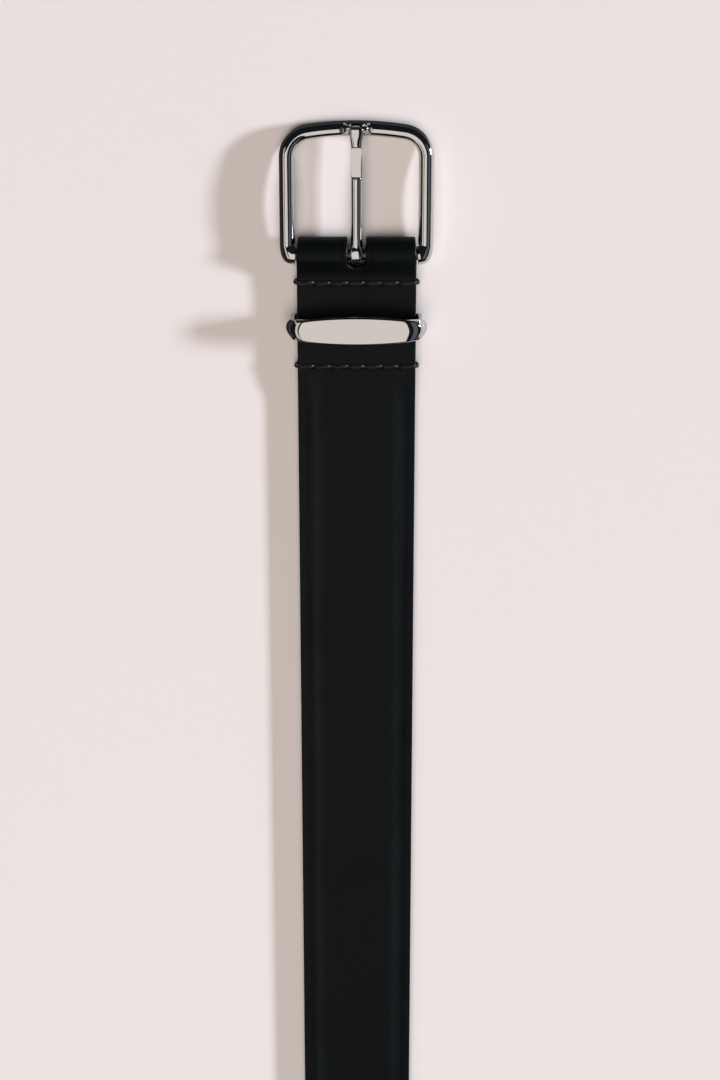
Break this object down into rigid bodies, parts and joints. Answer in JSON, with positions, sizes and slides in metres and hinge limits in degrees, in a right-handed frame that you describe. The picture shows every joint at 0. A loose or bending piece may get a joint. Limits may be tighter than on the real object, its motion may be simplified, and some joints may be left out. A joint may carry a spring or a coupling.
{
  "type": "leather belt",
  "caption": "Dress belt: a flat leather strap with a prong buckle on a heel bar, a metal keeper loop and a rounded tip with prong holes.",
  "frame": {"origin": "on the surface the belt lies on, under the middle of the whole belt", "axes": "+Y along the strap towards the buckle, +X across the strap, +Z out of the face leather"},
  "size_m": [0.0452, 1.024, 0.0101],
  "materials": {
    "face_leather": "smooth black calf, satin",
    "lining_leather": "matt black split",
    "filler": "soft bonded ply, unfinished",
    "thread": "waxed black thread",
    "polished_metal": "mirror polished"
  },
  "bodies": {
    "buckle_end": {"face_leather_1": "face_leather", "filler_1": "filler", "lining_leather_1": "lining_leather", "stitch_row_front": "thread", "stitch_row_rear": "thread"},
    "strap_2": {"face_leather_2": "face_leather", "filler_2": "filler", "lining_leather_2": "lining_leather"},
    "strap_3": {"face_leather_3": "face_leather", "filler_3": "filler", "lining_leather_3": "lining_leather"},
    "strap_4": {"face_leather_4": "face_leather", "filler_4": "filler", "lining_leather_4": "lining_leather"},
    "strap_5": {"face_leather_5": "face_leather", "filler_5": "filler", "lining_leather_5": "lining_leather"},
    "strap_6": {"face_leather_6": "face_leather", "filler_6": "filler", "lining_leather_6": "lining_leather"},
    "strap_7": {"face_leather_7": "face_leather", "filler_7": "filler", "lining_leather_7": "lining_leather"},
    "strap_8": {"face_leather_8": "face_leather", "filler_8": "filler", "lining_leather_8": "lining_leather"},
    "buckle": {"buckle_frame": "polished_metal", "heel_bar": "polished_metal"},
    "prong": {"prong": "polished_metal"},
    "keeper": {"keeper": "polished_metal"}
  },
  "joints": [
    {"name": "buckle_pivot", "type": "hinge", "parent": "buckle_end", "child": "buckle", "pos_m": [0, 0.473, 0.0035], "axis": [1, 0, 0], "range_deg": [-75, 40]},
    {"name": "prong_pivot", "type": "hinge", "parent": "buckle", "child": "prong", "pos_m": [0, 0.473, 0.0035], "axis": [1, 0, 0], "range_deg": [0, 72]},
    {"name": "keeper_slide", "type": "slide", "parent": "buckle_end", "child": "keeper", "axis": [0, 1, 0], "range_m": [-0.0065, 0.0065]},
    {"name": "strap_bend_1", "type": "hinge", "parent": "buckle_end", "child": "strap_2", "pos_m": [0, 0.163, 0.002], "axis": [1, 0, 0], "range_deg": [-15, 30], "stiffness_Nm_per_rad": 0.07},
    {"name": "strap_bend_2", "type": "hinge", "parent": "strap_2", "child": "strap_3", "pos_m": [0, 0.084, 0.002], "axis": [1, 0, 0], "range_deg": [-15, 30], "stiffness_Nm_per_rad": 0.07},
    {"name": "strap_bend_3", "type": "hinge", "parent": "strap_3", "child": "strap_4", "pos_m": [0, 0.005, 0.002], "axis": [1, 0, 0], "range_deg": [-15, 30], "stiffness_Nm_per_rad": 0.07},
    {"name": "strap_bend_4", "type": "hinge", "parent": "strap_4", "child": "strap_5", "pos_m": [0, -0.074, 0.002], "axis": [1, 0, 0], "range_deg": [-15, 30], "stiffness_Nm_per_rad": 0.07},
    {"name": "strap_bend_5", "type": "hinge", "parent": "strap_5", "child": "strap_6", "pos_m": [0, -0.153, 0.002], "axis": [1, 0, 0], "range_deg": [-15, 30], "stiffness_Nm_per_rad": 0.07},
    {"name": "strap_bend_6", "type": "hinge", "parent": "strap_6", "child": "strap_7", "pos_m": [0, -0.232, 0.002], "axis": [1, 0, 0], "range_deg": [-15, 30], "stiffness_Nm_per_rad": 0.07},
    {"name": "strap_bend_7", "type": "hinge", "parent": "strap_7", "child": "strap_8", "pos_m": [0, -0.311, 0.002], "axis": [1, 0, 0], "range_deg": [-15, 30], "stiffness_Nm_per_rad": 0.07}
  ]
}
